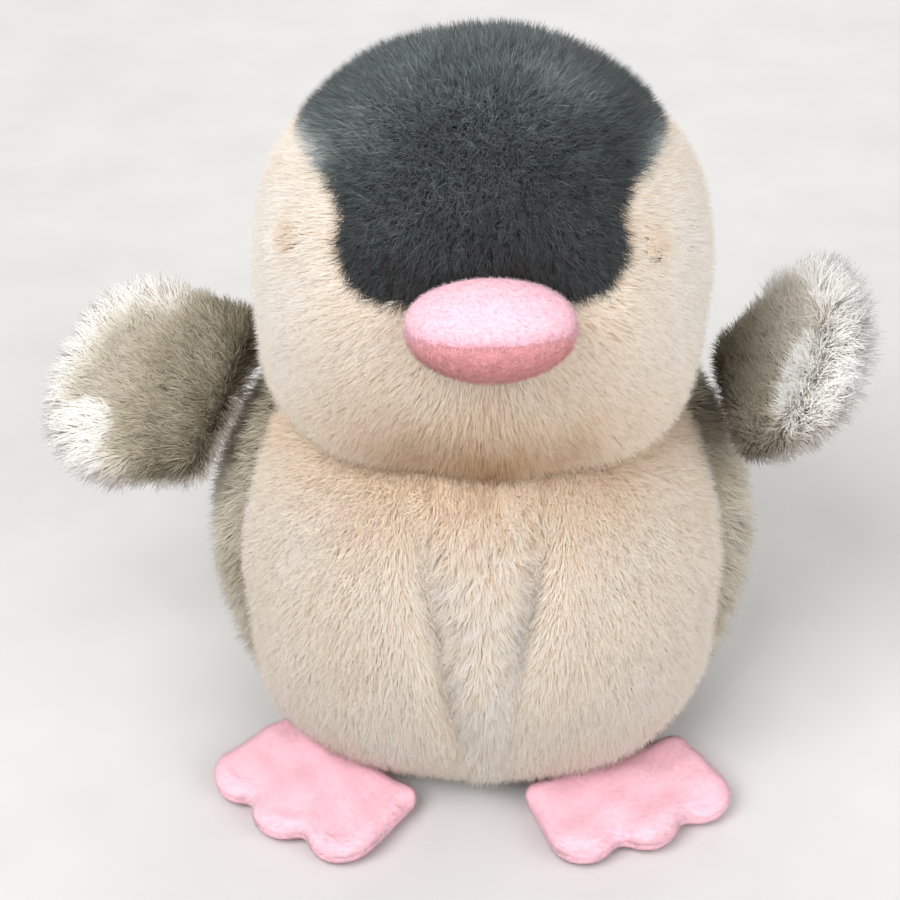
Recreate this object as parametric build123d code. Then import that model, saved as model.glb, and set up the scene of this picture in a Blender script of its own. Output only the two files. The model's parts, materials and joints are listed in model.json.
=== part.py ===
"""A soft toy penguin chick, sewn from plush panels over fibre stuffing.

Millimetres, +Z up, the face looks along -Y and the toy's own left is +X. The origin
is the middle of the flat base, on the surface that the toy sits on. Every panel is a
shell as thick as its backing and pile, so its outer face is the top of the pile.
"""
from build123d import *
from math import cos, radians, sin, sqrt, tan
import os

# ---------------------------------------------------------------- body
BELLY_RADIUS = 54.0      # round form of the cream front panels
BACK_STEP = 3.0          # the grey back has a longer pile and stands proud of the belly
BACK_RADIUS = BELLY_RADIUS + BACK_STEP
BODY_HEIGHT = 40.0       # centre of the round form above the floor
PLUSH = 4.0              # backing and pile of the body panels
GUSSET_TOP = 14.0        # half width of the tufted centre panel at the neck
GUSSET_FOOT = 3.0        # and at the base
BASE_PLUSH = 3.0         # flat panel that the toy sits on
PELLET_BAG_RADIUS = 27.0
PELLET_BAG_HEIGHT = 18.0

# The side seam between belly and back in the side view, as y and z from the base up: it is
# straight to the front of the wing's root, and then bends back along that root.
SIDE_SEAM_FOOT = (-18, 0)
SIDE_SEAM_BEND = [(-20, 40), (-9, 64), (14, 84)]

# ---------------------------------------------------------------- head
HEAD_RADIUS = 44.3
HEAD_HEIGHT = 106.0      # centre of the head above the floor
HEAD_FORWARD = 4.0       # and in front of the body's axis
HEAD_PLUSH = 4.0
NAPE_SEAM_Y = 14.0       # plane of the back head seam, behind the head's centre
NECK_HOLE = 15.0         # radius of the stuffed opening under the head
NECK_PLUG = 19.0         # radius of the firm wad of fibre between head and body
NECK_DEPTH = 12.0        # its depth below the head

# The seam between the dark cap and a pale cheek, as degrees around from the face
# and degrees up, from above the beak to the side of the head. It runs level from there.
CAP_SEAM = [(20, 16), (34, 17), (42, 25), (43, 33), (56, 39), (76, 40)]

# ---------------------------------------------------------------- beak
BEAK_WIDTH = 30.0
BEAK_DEPTH = 18.0
BEAK_REACH = 11.0        # from the middle of the beak's root to its tip
BEAK_PLUSH = 2.0
BEAK_LIFT = 12.5         # degrees above the middle of the face
BEAK_TILT = 4.0          # degrees that the tip points upward
BEAK_OFFSET = 1.5        # toward the toy's left, as it is sewn on

# ---------------------------------------------------------------- eyes
EYE_RADIUS = 2.2
LEFT_EYE_AZIMUTH = 51.0  # degrees around from the face
RIGHT_EYE_AZIMUTH = 61.0
EYE_LIFT = 20.0          # degrees up
EYE_STEM = 1.0           # radius of the stem behind the eye
EYE_WASHER = 4.0         # radius of the locking washer
WASHER_THICKNESS = 1.2
EYE_DIMPLE = 4.6         # radius of the sunk socket at the top of the pile
EYE_DOME = 1.5           # height of the domed eye over the backing
BACKING = 1.0            # knitted backing under the pile

# ---------------------------------------------------------------- wings
WING_LENGTH = 33.0       # from the sewn root to the tip
WING_CHORD = 44.0        # across the broad outer end
WING_CORNER = 18.0       # radius of the two outer corners
WING_ROOT = 40.0         # across the root
WING_THICKNESS = 12.0
WING_PLUSH = 3.5
SHOULDER_AZIMUTH = 90.0  # degrees around from the face
SHOULDER_LIFT = 31.0     # degrees up on the round body
LEFT_WING_TURN = 3.0     # how far the root seam leans from level to upright
LEFT_WING_DROOP = -31.0  # degrees that the wing hangs below straight out
LEFT_WING_SWEEP = 27.0   # degrees that the wing leans forward along its root
RIGHT_WING_TURN = 45.0
RIGHT_WING_DROOP = 35.0
RIGHT_WING_SWEEP = 8.0

# ---------------------------------------------------------------- feet
FOOT_REACH = 22.5        # from the sewn heel to the middle toe
FOOT_HEEL = 39.0         # width at the heel
FOOT_THICKNESS = 7.0
FOOT_PLUSH = 1.8
TOE_RADIUS = 7.6
TOE_SPREAD = 13.0        # from one toe to the next
SIDE_TOE_REACH = 20.5
TOE_NOTCH = 2.0          # radius between two toes
LEFT_FOOT_SPLAY = 25.0   # degrees outward from straight ahead
LEFT_FOOT_STANCE = 8.0   # shift of the foot outward along its seam
RIGHT_FOOT_SPLAY = 39.0
RIGHT_FOOT_STANCE = 0.5

# ---------------------------------------------------------------- tail
TAIL_LENGTH = 15.0
TAIL_WIDTH = 20.0
TAIL_THICKNESS = 8.0
TAIL_PLUSH = 2.4
TAIL_DROP = 29.0         # degrees below the middle of the back

# ---------------------------------------------------------------- fits
GAP = 0.3                # between soft pieces that move past each other
TUCK = 0.2               # between a panel and the stuffing that it holds
SOFT_EDGE = 0.2          # flat left between the two rounded edges of a pad
FAR = 300.0              # larger than the toy, for cutting tools


def ball(centre, radius):
    """A round form about a point."""
    return Pos(*centre) * Sphere(radius)


def slab(low, high):
    """A box between two corners."""
    size = [b - a for a, b in zip(low, high)]
    middle = [(a + b) / 2 for a, b in zip(low, high)]
    return Pos(*middle) * Box(*size)


def direction(azimuth, lift):
    """The outward direction at some degrees around from the face and up."""
    level = cos(radians(lift))
    return Vector(sin(radians(azimuth)) * level, -cos(radians(azimuth)) * level, sin(radians(lift)))


def front_prism(outline):
    """An outline in the front view, run through the whole toy from front to back."""
    return extrude(Plane.XZ * make_face(outline), amount=FAR, both=True)


def before_side_seam():
    """Everything in front of the side seams."""
    start, _, top = SIDE_SEAM_BEND
    seam = Line(SIDE_SEAM_FOOT, start) + ThreePointArc(*SIDE_SEAM_BEND)
    rest = Polyline(top, (top[0], FAR), (-FAR, FAR), (-FAR, SIDE_SEAM_FOOT[1]), SIDE_SEAM_FOOT)
    return extrude(Plane.YZ * make_face(seam + rest), amount=FAR, both=True)


BODY = (0, 0, BODY_HEIGHT)
HEAD = (0, -HEAD_FORWARD, HEAD_HEIGHT)
SEAT = ball(HEAD, HEAD_RADIUS + GAP)


# ---------------------------------------------------------------- body pieces
def body_panels():
    """The belly's three panels, the two halves of the back and the flat base."""
    front = before_side_seam()
    rear = slab((-FAR, -FAR, 0), (FAR, FAR, FAR)) - front
    belly = (ball(BODY, BELLY_RADIUS) - ball(BODY, BELLY_RADIUS - PLUSH) - SEAT) & front
    back = (ball(BODY, BACK_RADIUS) - ball(BODY, BACK_RADIUS - PLUSH) - SEAT) & rear
    gusset = front_prism(Polyline(
        (-GUSSET_FOOT, 0), (GUSSET_FOOT, 0), (GUSSET_FOOT, BODY_HEIGHT / 2),
        (GUSSET_TOP, HEAD_HEIGHT - HEAD_RADIUS / 2), (-GUSSET_TOP, HEAD_HEIGHT - HEAD_RADIUS / 2),
        (-GUSSET_FOOT, BODY_HEIGHT / 2), close=True))
    left = slab((0, -FAR, -FAR), (FAR, FAR, FAR))
    base_front = ball(BODY, BELLY_RADIUS - PLUSH - TUCK) & front
    base_rear = ball(BODY, BACK_RADIUS - PLUSH - TUCK) & rear
    base = (base_front + base_rear) & slab((-FAR, -FAR, 0), (FAR, FAR, BASE_PLUSH))
    return {
        "belly_left": (belly - gusset) & left,
        "belly_right": (belly - gusset) - left,
        "belly_centre": belly & gusset,
        "back_left": back & left,
        "back_right": back - left,
        "base_panel": base,
    }


def pellet_bag(grow=0.0):
    """The weighted bag low in the body, a round cushion with a soft rim."""
    height = PELLET_BAG_HEIGHT + 2 * grow
    rim = height / 2 - SOFT_EDGE
    low = BASE_PLUSH + GAP - grow
    bag = Pos(0, 0, low + height / 2) * Cylinder(PELLET_BAG_RADIUS + grow, height)
    return fillet(bag.edges().filter_by(GeomType.CIRCLE), rim)


def neck_plug(grow=0.0):
    """The wad of fibre in the neck, dished on top to hold the round head."""
    low = HEAD_HEIGHT - HEAD_RADIUS - NECK_DEPTH - grow
    plug = Pos(0, -HEAD_FORWARD, (low + HEAD_HEIGHT) / 2) * Cylinder(NECK_PLUG + grow, HEAD_HEIGHT - low)
    return plug - SEAT


def body_stuffing():
    """The fibre that fills the body round the pellet bag and under the neck."""
    front = ball(BODY, BELLY_RADIUS - PLUSH - TUCK)
    rear = ball(BODY, BACK_RADIUS - PLUSH - TUCK) - Pos(0, TUCK, 0) * before_side_seam()
    fill = (front + rear) & slab((-FAR, -FAR, BASE_PLUSH + TUCK), (FAR, FAR, FAR))
    return fill - ball(HEAD, HEAD_RADIUS + GAP + TUCK) - neck_plug(GAP) - pellet_bag(TUCK)


# ---------------------------------------------------------------- head pieces
def cheek_prism(side):
    """The front view of one cheek: everything below the cap's seam on that side."""
    seam = []
    for azimuth, lift in CAP_SEAM:
        point = direction(side * azimuth, lift) * HEAD_RADIUS
        seam.append((point.X, HEAD_HEIGHT + point.Z))
    inner = (0, seam[0][1])
    outer = (side * 2 * HEAD_RADIUS, seam[-1][1])
    low = HEAD_HEIGHT - 2 * HEAD_RADIUS
    rest = Polyline(seam[-1], outer, (outer[0], low), (0, low), inner, seam[0])
    return front_prism(Spline(*seam) + rest)


def eye_seat(side):
    """The frame of one eye: its axis points out of the head, its origin on the backing."""
    azimuth = LEFT_EYE_AZIMUTH if side > 0 else -RIGHT_EYE_AZIMUTH
    out = direction(azimuth, EYE_LIFT)
    foot = Vector(*HEAD) + out * (HEAD_RADIUS - HEAD_PLUSH + BACKING)
    return Plane(origin=foot, z_dir=out)


def eye_socket(side):
    """What one eye takes from the cheek: a flared dimple in the pile and a stem hole."""
    pile = HEAD_PLUSH - BACKING
    mouth = 2 * EYE_DIMPLE - EYE_RADIUS - GAP
    dimple = Pos(0, 0, pile) * Cone(EYE_RADIUS + GAP, mouth, 2 * pile)
    hole = Cylinder(EYE_STEM + TUCK, 4 * HEAD_PLUSH)
    return eye_seat(side) * (dimple + hole)


def eye(side):
    """A domed black eye with the stem that holds it through the backing."""
    sphere_radius = (EYE_RADIUS ** 2 + EYE_DOME ** 2) / (2 * EYE_DOME)
    dome = Pos(0, 0, TUCK + EYE_DOME - sphere_radius) * Sphere(sphere_radius)
    dome &= slab((-FAR, -FAR, TUCK), (FAR, FAR, FAR))
    reach = BACKING + TUCK + 2 * WASHER_THICKNESS
    stem = Pos(0, 0, TUCK - reach / 2) * Cylinder(EYE_STEM, reach)
    return eye_seat(side) * (dome + stem)


def eye_washer(side, grow=0.0):
    """The disc that locks the stem behind the backing."""
    height = WASHER_THICKNESS + 2 * grow
    disc = Cylinder(EYE_WASHER + grow, height)
    if grow == 0:
        disc -= Cylinder(EYE_STEM + TUCK / 2, 2 * height)
    return eye_seat(side) * Pos(0, 0, -BACKING - 2 * TUCK - WASHER_THICKNESS / 2) * disc


def head_panels():
    """The dark cap and nape and the two pale cheeks that meet under the beak."""
    shell = ball(HEAD, HEAD_RADIUS) - ball(HEAD, HEAD_RADIUS - HEAD_PLUSH)
    shell -= Pos(0, -HEAD_FORWARD, HEAD_HEIGHT - HEAD_RADIUS) * Cylinder(NECK_HOLE, HEAD_RADIUS)
    nape = NAPE_SEAM_Y - HEAD_FORWARD
    face = shell & slab((-FAR, -FAR, -FAR), (FAR, nape, FAR))
    cheeks = {side: cheek_prism(side) for side in (1, -1)}
    return {
        "head_cap": face - cheeks[1] - cheeks[-1],
        "head_back": shell & slab((-FAR, nape, -FAR), (FAR, FAR, FAR)),
        "cheek_left": (face & cheeks[1]) - eye_socket(1),
        "cheek_right": (face & cheeks[-1]) - eye_socket(-1),
    }


def head_stuffing():
    """The fibre ball inside the head, pressed in at the two washers."""
    fill = ball(HEAD, HEAD_RADIUS - HEAD_PLUSH - TUCK)
    for side in (1, -1):
        fill -= eye_washer(side, TUCK)
        fill -= eye_seat(side) * Cylinder(EYE_STEM + TUCK, 4 * HEAD_PLUSH)
    return fill


# ---------------------------------------------------------------- beak pieces
def beak_place():
    """The frame of the beak: its lip seam is level in it, its origin on the face."""
    root = Vector(*HEAD) + direction(0, BEAK_LIFT) * HEAD_RADIUS + Vector(BEAK_OFFSET, 0, 0)
    return Pos(*root) * Rot(X=-BEAK_TILT)


def beak_form(inset):
    """The plump beak, an egg whose back half is inside the face."""
    half = (BEAK_WIDTH / 2 - inset, BEAK_REACH - inset, BEAK_DEPTH / 2 - inset)
    return beak_place() * scale(Sphere(1), by=half)


def beak_pieces():
    """Upper and lower beak with a seam along the lip, and the stuffing inside."""
    over = beak_place() * slab((-FAR, -FAR, 0), (FAR, FAR, FAR))
    face = ball(HEAD, HEAD_RADIUS + TUCK)
    skin = beak_form(0) - beak_form(BEAK_PLUSH) - face
    return {
        "beak_upper": skin & over,
        "beak_lower": skin - over,
        "beak_stuffing": beak_form(BEAK_PLUSH + TUCK) - face,
    }


# ---------------------------------------------------------------- pads: wings, feet, tail
def pad(outline, thickness):
    """A soft flat pad about the outline's plane, with its edge rounded all round."""
    block = extrude(outline, amount=thickness / 2, both=True)
    rims = block.edges().group_by(Axis.Z)
    return fillet(rims[0] + rims[-1], thickness / 2 - SOFT_EDGE)


def pad_pieces(name, upper, lower, outline, thickness, plush, place):
    """An upper and a lower panel sewn round their edge, and the stuffing between."""
    inside = pad(offset(outline, -plush), thickness - 2 * plush)
    skin = pad(outline, thickness) - inside
    fill = pad(offset(outline, -plush - TUCK), thickness - 2 * (plush + TUCK))
    over = slab((-FAR, -FAR, 0), (FAR, FAR, FAR))
    return {
        f"{name}_{upper}": place * (skin & over),
        f"{name}_{lower}": place * (skin - over),
        f"{name}_stuffing": place * fill,
    }


def hull(*sketches):
    """The taut outline round some flat shapes."""
    return make_hull(ShapeList(edge for sketch in sketches for edge in sketch.edges()))


def hinge_slot(width, thickness):
    """The sewn edge of a pad in plan, rounded about the line that it flexes on."""
    return SlotOverall(width, thickness, rotation=90)


def wing_outline(sweep):
    """A broad paddle along +X with a blunt end and two round outer corners."""
    out = WING_LENGTH - WING_CORNER
    spread = WING_CHORD / 2 - WING_CORNER
    forward = out * tan(radians(sweep))
    corners = [Pos(out, y - forward) * Circle(WING_CORNER) for y in (-spread, spread)]
    return hull(hinge_slot(WING_ROOT, WING_THICKNESS), *corners)


def foot_outline():
    """A webbed foot along +X: three round toes that meet in shallow notches."""
    heel = hinge_slot(FOOT_HEEL, FOOT_THICKNESS)
    toes = []
    for place, reach in ((-1, SIDE_TOE_REACH), (0, FOOT_REACH), (1, SIDE_TOE_REACH)):
        toe = Pos(reach - TOE_RADIUS, place * TOE_SPREAD) * Circle(TOE_RADIUS)
        toes.append(hull(heel, toe))
    webbed = toes[0] + toes[1] + toes[2]
    return offset(offset(webbed, TOE_NOTCH), -TOE_NOTCH)


def tail_outline():
    """A short blunt tab along +X."""
    tip = Pos(TAIL_LENGTH - TAIL_WIDTH / 4, 0) * Circle(TAIL_WIDTH / 4)
    return hull(hinge_slot(TAIL_WIDTH, TAIL_THICKNESS), tip)


# ---------------------------------------------------------------- where the pads are sewn on
def wing_place(side, turn, droop):
    """The frame of one wing. Its Y axis is the line it flaps on, just off the back."""
    out = direction(SHOULDER_AZIMUTH, SHOULDER_LIFT)
    back = Vector(cos(radians(SHOULDER_AZIMUTH)), sin(radians(SHOULDER_AZIMUTH)), 0)
    chord = back * cos(radians(turn)) + out.cross(back) * sin(radians(turn))
    face = out.cross(chord)
    along = out * cos(radians(droop)) - face * sin(radians(droop))
    normal = face * cos(radians(droop)) + out * sin(radians(droop))
    root = Vector(*BODY) + out * (BACK_RADIUS + GAP + WING_THICKNESS / 2)
    mirrored = [Vector(side * v.X, v.Y, v.Z) for v in (root, along, normal)]
    return Plane(origin=mirrored[0], x_dir=mirrored[1], z_dir=mirrored[2])


def foot_place(side, splay, stance):
    """The frame of one foot, flat on the floor with its heel tucked under the belly."""
    reach = BELLY_RADIUS + GAP + FOOT_THICKNESS / 2
    height = FOOT_THICKNESS / 2
    heel = sqrt(reach ** 2 - (BODY_HEIGHT - height) ** 2)
    along = Vector(side * sin(radians(splay)), -cos(radians(splay)), 0)
    across = Vector(side * cos(radians(splay)), sin(radians(splay)), 0)
    root = along * heel + across * stance + Vector(0, 0, height)
    return Plane(origin=root, x_dir=along, z_dir=(0, 0, 1))


def tail_place():
    """The frame of the tail, level, low on the middle of the back."""
    root = Vector(*BODY) + direction(180, -TAIL_DROP) * (BACK_RADIUS + GAP + TAIL_THICKNESS / 2)
    return Plane(origin=root, x_dir=(0, 1, 0), z_dir=(0, 0, 1))


# ---------------------------------------------------------------- the whole toy
def all_pieces():
    """Every piece of the toy by its name."""
    pieces = body_panels()
    pieces["body_stuffing"] = body_stuffing()
    pieces["pellet_bag"] = pellet_bag()
    pieces["neck_stuffing"] = neck_plug()
    pieces.update(head_panels())
    pieces["head_stuffing"] = head_stuffing()
    pieces.update(beak_pieces())
    for name, side in (("left", 1), ("right", -1)):
        pieces[f"{name}_eye"] = eye(side)
        pieces[f"{name}_eye_washer"] = eye_washer(side)
    wings = (("left", 1, LEFT_WING_TURN, LEFT_WING_DROOP, LEFT_WING_SWEEP),
             ("right", -1, RIGHT_WING_TURN, RIGHT_WING_DROOP, RIGHT_WING_SWEEP))
    for name, side, turn, droop, sweep in wings:
        # The frame of the right wing is a mirrored one turned over, so its outline turns too.
        outline = wing_outline(sweep * side)
        pieces.update(pad_pieces(f"{name}_wing", "grey", "white", outline, WING_THICKNESS,
                                 WING_PLUSH, wing_place(side, turn, droop)))
    feet = (("left", 1, LEFT_FOOT_SPLAY, LEFT_FOOT_STANCE), ("right", -1, RIGHT_FOOT_SPLAY, RIGHT_FOOT_STANCE))
    for name, side, splay, stance in feet:
        pieces.update(pad_pieces(f"{name}_foot", "top", "sole", foot_outline(), FOOT_THICKNESS,
                                 FOOT_PLUSH, foot_place(side, splay, stance)))
    pieces.update(pad_pieces("tail", "upper", "lower", tail_outline(), TAIL_THICKNESS, TAIL_PLUSH,
                             tail_place()))
    return pieces


os.makedirs("parts", exist_ok=True)
for node, solid in all_pieces().items():
    export_step(solid, f"parts/{node}.step")
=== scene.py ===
"""The plush penguin's looks: every sewn panel is a closed cloth skin, and all but the base panel have real
pile fibres grown on them.
"""
import json
import math

import bmesh
import bpy
import numpy as np
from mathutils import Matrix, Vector


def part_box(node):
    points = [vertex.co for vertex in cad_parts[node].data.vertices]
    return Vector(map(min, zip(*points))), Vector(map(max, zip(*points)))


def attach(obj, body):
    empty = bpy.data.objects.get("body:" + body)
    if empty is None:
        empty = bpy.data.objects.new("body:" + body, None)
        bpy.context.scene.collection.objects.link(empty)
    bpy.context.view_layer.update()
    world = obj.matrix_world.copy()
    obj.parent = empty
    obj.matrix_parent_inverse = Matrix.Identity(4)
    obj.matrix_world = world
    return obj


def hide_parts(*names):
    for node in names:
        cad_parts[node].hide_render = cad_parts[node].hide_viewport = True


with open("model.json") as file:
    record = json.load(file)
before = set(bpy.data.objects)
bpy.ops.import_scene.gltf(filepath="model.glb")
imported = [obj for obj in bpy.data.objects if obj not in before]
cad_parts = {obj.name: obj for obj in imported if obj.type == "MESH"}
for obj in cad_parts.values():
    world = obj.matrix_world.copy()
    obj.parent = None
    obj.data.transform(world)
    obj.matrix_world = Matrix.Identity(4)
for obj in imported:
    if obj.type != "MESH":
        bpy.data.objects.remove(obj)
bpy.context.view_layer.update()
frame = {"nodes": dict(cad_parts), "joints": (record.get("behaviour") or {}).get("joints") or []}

MM = 0.001
JOINTS = {joint["name"]: joint for joint in frame["joints"]}


def hub(joint):
    """Where a joint turns, in millimetres."""
    return np.array(JOINTS[joint]["pos_m"]) / MM


def node_box(node):
    """The lowest and highest corner of a CAD node, in millimetres."""
    low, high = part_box(node)
    return np.array(low) / MM, np.array(high) / MM


# ------------------------------------------------------------------ sizes from the frame
HEAD = hub("head_turn")
HEAD_CORE = (node_box("head_stuffing")[1][0] - node_box("head_stuffing")[0][0]) / 2
HEAD_RADIUS = HEAD_CORE + 4.2
BACK_RADIUS = node_box("back_left")[1][0]
BELLY_RADIUS = BACK_RADIUS - 3.0
BODY = np.array([0.0, 0.0, 40.0])
SIDE_SEAM = np.array([(-18, 0), (-20, 40), (-16.5, 52), (-9, 64), (1.5, 75), (14, 84)], float)
JOWL = 4.6                  # the most that the lower cheeks swell out of the round head
BELLY_FULLNESS = 3.6        # the most that the low belly swells
TUFT_CREASE = 4.6           # depth of the creases beside the chest tuft
NAPE_SEAM_Y = node_box("head_back")[0][1]
CAP_SEAM = np.array([(0, 16), (20, 16), (34, 17), (42, 25), (43.5, 33), (56, 39), (76, 40), (110, 38)], float)


# ------------------------------------------------------------------ small maths on arrays of points
def unit(v):
    return v / np.maximum(np.linalg.norm(v, axis=-1, keepdims=True), 1e-9)


def smooth(low, high, x):
    """0 below low, 1 above high, an S curve between."""
    t = np.clip((x - low) / (high - low), 0, 1)
    return t * t * (3 - 2 * t)


def bell(x, width):
    return np.exp(-(x / width) ** 2)


def waves(points, wavelength, seed, octaves=10):
    """Smooth noise from about -1 to 1 with bumps about a wavelength apart."""
    rng = np.random.default_rng(seed)
    total = np.zeros(len(points))
    for _ in range(octaves):
        direction = unit(rng.normal(size=3))
        turn = 2 * math.pi / (wavelength * rng.uniform(0.7, 1.5))
        total += np.cos(points @ direction * turn + rng.uniform(0, 2 * math.pi))
    return total * math.sqrt(2 / octaves) / 2


def swirl(points, wavelength, seed):
    """A smooth vector noise field, which gathers neighbouring fibres into locks."""
    return np.stack([waves(points, wavelength, seed + k) for k in range(3)], axis=1)


def angles(direction):
    """Degrees around from the face and degrees up."""
    around = np.degrees(np.arctan2(direction[:, 0], -direction[:, 1]))
    return around, np.degrees(np.arcsin(np.clip(direction[:, 2], -1, 1)))


# ------------------------------------------------------------------ meshes
def read_mesh(mesh):
    points = np.zeros(len(mesh.vertices) * 3)
    mesh.vertices.foreach_get("co", points)
    mesh.calc_loop_triangles()
    faces = np.zeros(len(mesh.loop_triangles) * 3, dtype=np.int64)
    mesh.loop_triangles.foreach_get("vertices", faces)
    return points.reshape(-1, 3), faces.reshape(-1, 3)


def new_object(name, points, faces, material, body, shade_normals=None, uv=None):
    """An object of triangles, in metres, that rides on a body."""
    mesh = bpy.data.meshes.new(name)
    mesh.vertices.add(len(points))
    mesh.vertices.foreach_set("co", (points * MM).astype(np.float32).ravel())
    mesh.loops.add(faces.size)
    mesh.loops.foreach_set("vertex_index", faces.astype(np.int32).ravel())
    mesh.polygons.add(len(faces))
    mesh.polygons.foreach_set("loop_start", np.arange(0, faces.size, 3, dtype=np.int32))
    mesh.update(calc_edges=True)
    mesh.polygons.foreach_set("use_smooth", np.ones(len(faces), dtype=bool))
    if uv is not None:
        layer = mesh.uv_layers.new(name="OFBake")
        layer.data.foreach_set("uv", uv[faces.ravel()].astype(np.float32).ravel())
    if shade_normals is not None:
        mesh.normals_split_custom_set_from_vertices(shade_normals.astype(np.float32))
    mesh.materials.append(material)
    piece = bpy.data.objects.new(name, mesh)
    bpy.context.scene.collection.objects.link(piece)
    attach(piece, body)
    return piece


def corner_normals(points, faces):
    """The area-weighted normal at each point."""
    corner = points[faces[:, 0]]
    face_normals = np.cross(points[faces[:, 1]] - corner, points[faces[:, 2]] - corner)
    normals = np.zeros_like(points)
    for corner in range(3):
        np.add.at(normals, faces[:, corner], face_normals)
    return unit(normals)


def part_of(points, faces, keep):
    """The faces that keep says, with only the points that they use."""
    faces = faces[keep]
    used, inverse = np.unique(faces, return_inverse=True)
    return points[used], inverse.reshape(-1, 3)


def thick(points, faces, normals, depth):
    """A closed cloth skin: an open sheet, its inner side, and walls round its edges."""
    count = len(points)
    edges = np.concatenate([faces[:, [0, 1]], faces[:, [1, 2]], faces[:, [2, 0]]])
    key = np.sort(edges, axis=1)
    _, first, times = np.unique(key, axis=0, return_index=True, return_counts=True)
    rim = edges[first[times == 1]]
    walls = np.concatenate([
        np.stack([rim[:, 1], rim[:, 0], rim[:, 0] + count], axis=1),
        np.stack([rim[:, 1], rim[:, 0] + count, rim[:, 1] + count], axis=1)])
    inner = faces[:, ::-1] + count
    return np.concatenate([points, points - normals * depth]), np.concatenate([faces, inner, walls])


def ico_directions(level):
    """The points and faces of a fine sphere of radius 1."""
    ball = bmesh.new()
    bmesh.ops.create_icosphere(ball, subdivisions=level, radius=1.0)
    mesh = bpy.data.meshes.new("directions")
    ball.to_mesh(mesh)
    ball.free()
    points, faces = read_mesh(mesh)
    bpy.data.meshes.remove(mesh)
    return unit(points), faces


def fused_form(nodes, voxel, rounds, inset):
    """One smooth closed surface round some CAD nodes, set in by the pile's depth. Millimetres."""
    meshes = [frame["nodes"][node].data for node in nodes]
    joined = bmesh.new()
    for mesh in meshes:
        joined.from_mesh(mesh)
    mesh = bpy.data.meshes.new("fused")
    joined.to_mesh(mesh)
    joined.free()
    block = bpy.data.objects.new("fused", mesh)
    bpy.context.scene.collection.objects.link(block)
    remesh = block.modifiers.new("remesh", "REMESH")
    remesh.mode = "VOXEL"
    remesh.voxel_size = voxel * MM
    soften = block.modifiers.new("soften", "SMOOTH")
    soften.iterations = rounds
    soften.factor = 0.5
    result = bpy.data.meshes.new_from_object(block.evaluated_get(bpy.context.evaluated_depsgraph_get()))
    points, faces = read_mesh(result)
    bpy.data.objects.remove(block)
    bpy.data.meshes.remove(mesh)
    bpy.data.meshes.remove(result)
    points = points / MM
    return points - corner_normals(points, faces) * inset, faces


# ------------------------------------------------------------------ pile
FIBRES_A_PIECE = 38000


def sample(points, faces, normals, per_mm2, rng):
    """Seeded places on a surface: the point and the surface's normal there."""
    a, b, c = (points[faces[:, k]] for k in range(3))
    area = np.linalg.norm(np.cross(b - a, c - a), axis=1) / 2
    count = int(area.sum() * per_mm2)
    pick = rng.choice(len(faces), size=count, p=area / area.sum())
    s, t = rng.random(count), rng.random(count)
    over = s + t > 1
    s[over], t[over] = 1 - s[over], 1 - t[over]
    mix = np.stack([1 - s - t, s, t], axis=1)
    where = sum(points[faces[pick, k]] * mix[:, k:k + 1] for k in range(3))
    facing = unit(sum(normals[faces[pick, k]] * mix[:, k:k + 1] for k in range(3)))
    return where, facing


def full(points):
    """Pile that is nowhere trimmed."""
    return np.ones(len(points))


def grow(name, sheet, body, material, seed, per_mm2, length, width, lean, comb, tone,
         lock=0.35, lock_size=3.0, droop=0.35, bends=1, soft=0.85, spread=0.06, trim=full):
    """Fibres on a sheet: thin closed spikes that lean along the comb and gather in locks.

    length, width in millimetres; lean from 0, upright, to 1, flat; tone gives each fibre its
    shade from its place, give or take spread; soft is how far the shading follows the sheet
    and not the fibre; trim shortens the pile by place."""
    rng = np.random.default_rng(seed)
    points, faces, normals = sheet
    root, out = sample(points, faces, normals, per_mm2, rng)
    batch = FIBRES_A_PIECE // bends
    for number, start in enumerate(range(0, len(root), batch)):
        part = slice(start, start + batch)
        size = length * rng.uniform(0.75, 1.12, len(root[part])) * trim(root[part])
        fur = fibres(f"{name}_{number}", root[part], out[part], rng, seed, body, material, size, width, lean,
                     comb, tone, lock, lock_size, droop, bends, soft, spread)


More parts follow.
